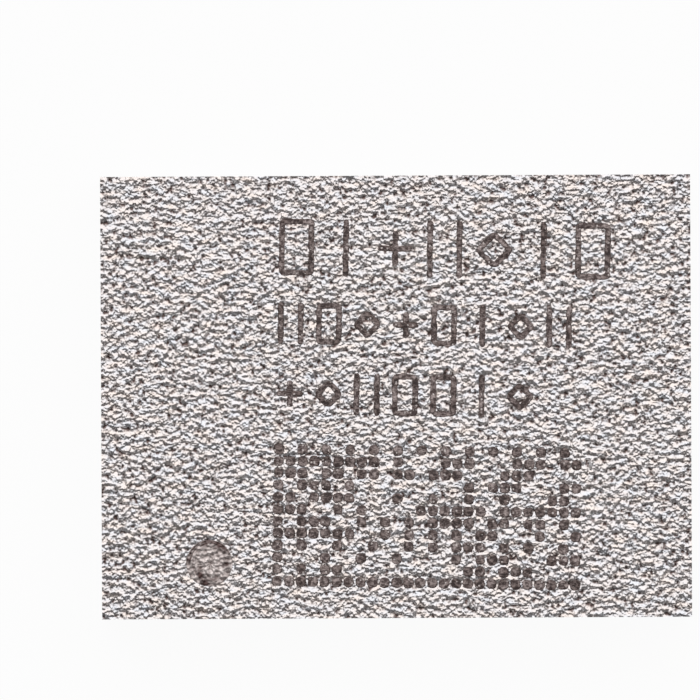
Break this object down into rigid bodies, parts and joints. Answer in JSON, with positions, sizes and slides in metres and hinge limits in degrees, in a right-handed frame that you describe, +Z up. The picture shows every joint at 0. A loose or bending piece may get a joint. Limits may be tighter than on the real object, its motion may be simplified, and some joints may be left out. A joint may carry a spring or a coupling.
{
  "type": "power amplifier chip",
  "caption": "Flat rectangular radio power amplifier module with a thin metal shield, laser marks on its top and square gold terminals round its underside.",
  "frame": {"origin": "middle of the seating plane, which is the plane of the terminals' lower faces", "axes": "+X along the length, to the right with the marks upright; +Y to the top of the marks; +Z up out of the shield's top. The pin one mark is in the corner at -X and -Y."},
  "size_m": [0.004, 0.003, 0.0008],
  "materials": {
    "sputtered_shield": "rough sputtered metal, satin",
    "mould_compound": "cast epoxy, matte",
    "laminate": "pressed resin and glass, satin",
    "solder_mask": "cured film, satin",
    "gold_plate": "grainy gold plate on copper",
    "copper": "etched copper",
    "gallium_arsenide": "polished",
    "silver_epoxy": "cured paste",
    "gold_wire": "drawn gold",
    "silicon": "ground back",
    "filter_chip": "ground crystal",
    "solder": "bright solder",
    "copper_bump": "plated copper with solder tip",
    "capacitor_body": "fired ceramic",
    "inductor_body": "fired ceramic",
    "tin_plate": "plated tin"
  },
  "bodies": {
    "root": {"shield": "sputtered_shield", "mould": "mould_compound", "laminate": "laminate", "upper_mask": "solder_mask", "lower_mask": "solder_mask", "thermal_ground": "gold_plate", "ground_pads": "gold_plate", "top_lands": "copper", "amplifier_die": "gallium_arsenide", "die_attach": "silver_epoxy", "bond_wires": "gold_wire", "controller_die": "silicon", "switch_die": "silicon", "send_filter": "filter_chip", "receive_filter": "filter_chip", "solder_joints": "solder", "controller_bumps": "copper_bump", "switch_bumps": "copper_bump", "send_filter_bumps": "copper_bump", "receive_filter_bumps": "copper_bump", "terminal_01": "gold_plate", "terminal_02": "gold_plate", "terminal_03": "gold_plate", "terminal_04": "gold_plate", "terminal_05": "gold_plate", "terminal_06": "gold_plate", "terminal_07": "gold_plate", "terminal_08": "gold_plate", "terminal_09": "gold_plate", "terminal_10": "gold_plate", "terminal_11": "gold_plate", "terminal_12": "gold_plate", "terminal_13": "gold_plate", "terminal_14": "gold_plate", "terminal_15": "gold_plate", "terminal_16": "gold_plate", "terminal_17": "gold_plate", "terminal_18": "gold_plate", "terminal_19": "gold_plate", "terminal_20": "gold_plate", "terminal_21": "gold_plate", "terminal_22": "gold_plate", "terminal_23": "gold_plate", "terminal_24": "gold_plate", "supply_capacitor": "capacitor_body", "bias_capacitor": "capacitor_body", "input_capacitor": "capacitor_body", "output_capacitor": "capacitor_body", "match_capacitor": "capacitor_body", "input_inductor": "inductor_body", "output_inductor": "inductor_body", "choke_inductor": "inductor_body", "supply_capacitor_ends": "tin_plate", "bias_capacitor_ends": "tin_plate", "input_capacitor_ends": "tin_plate", "output_capacitor_ends": "tin_plate", "match_capacitor_ends": "tin_plate", "input_inductor_ends": "tin_plate", "output_inductor_ends": "tin_plate", "choke_inductor_ends": "tin_plate"}
  },
  "joints": []
}
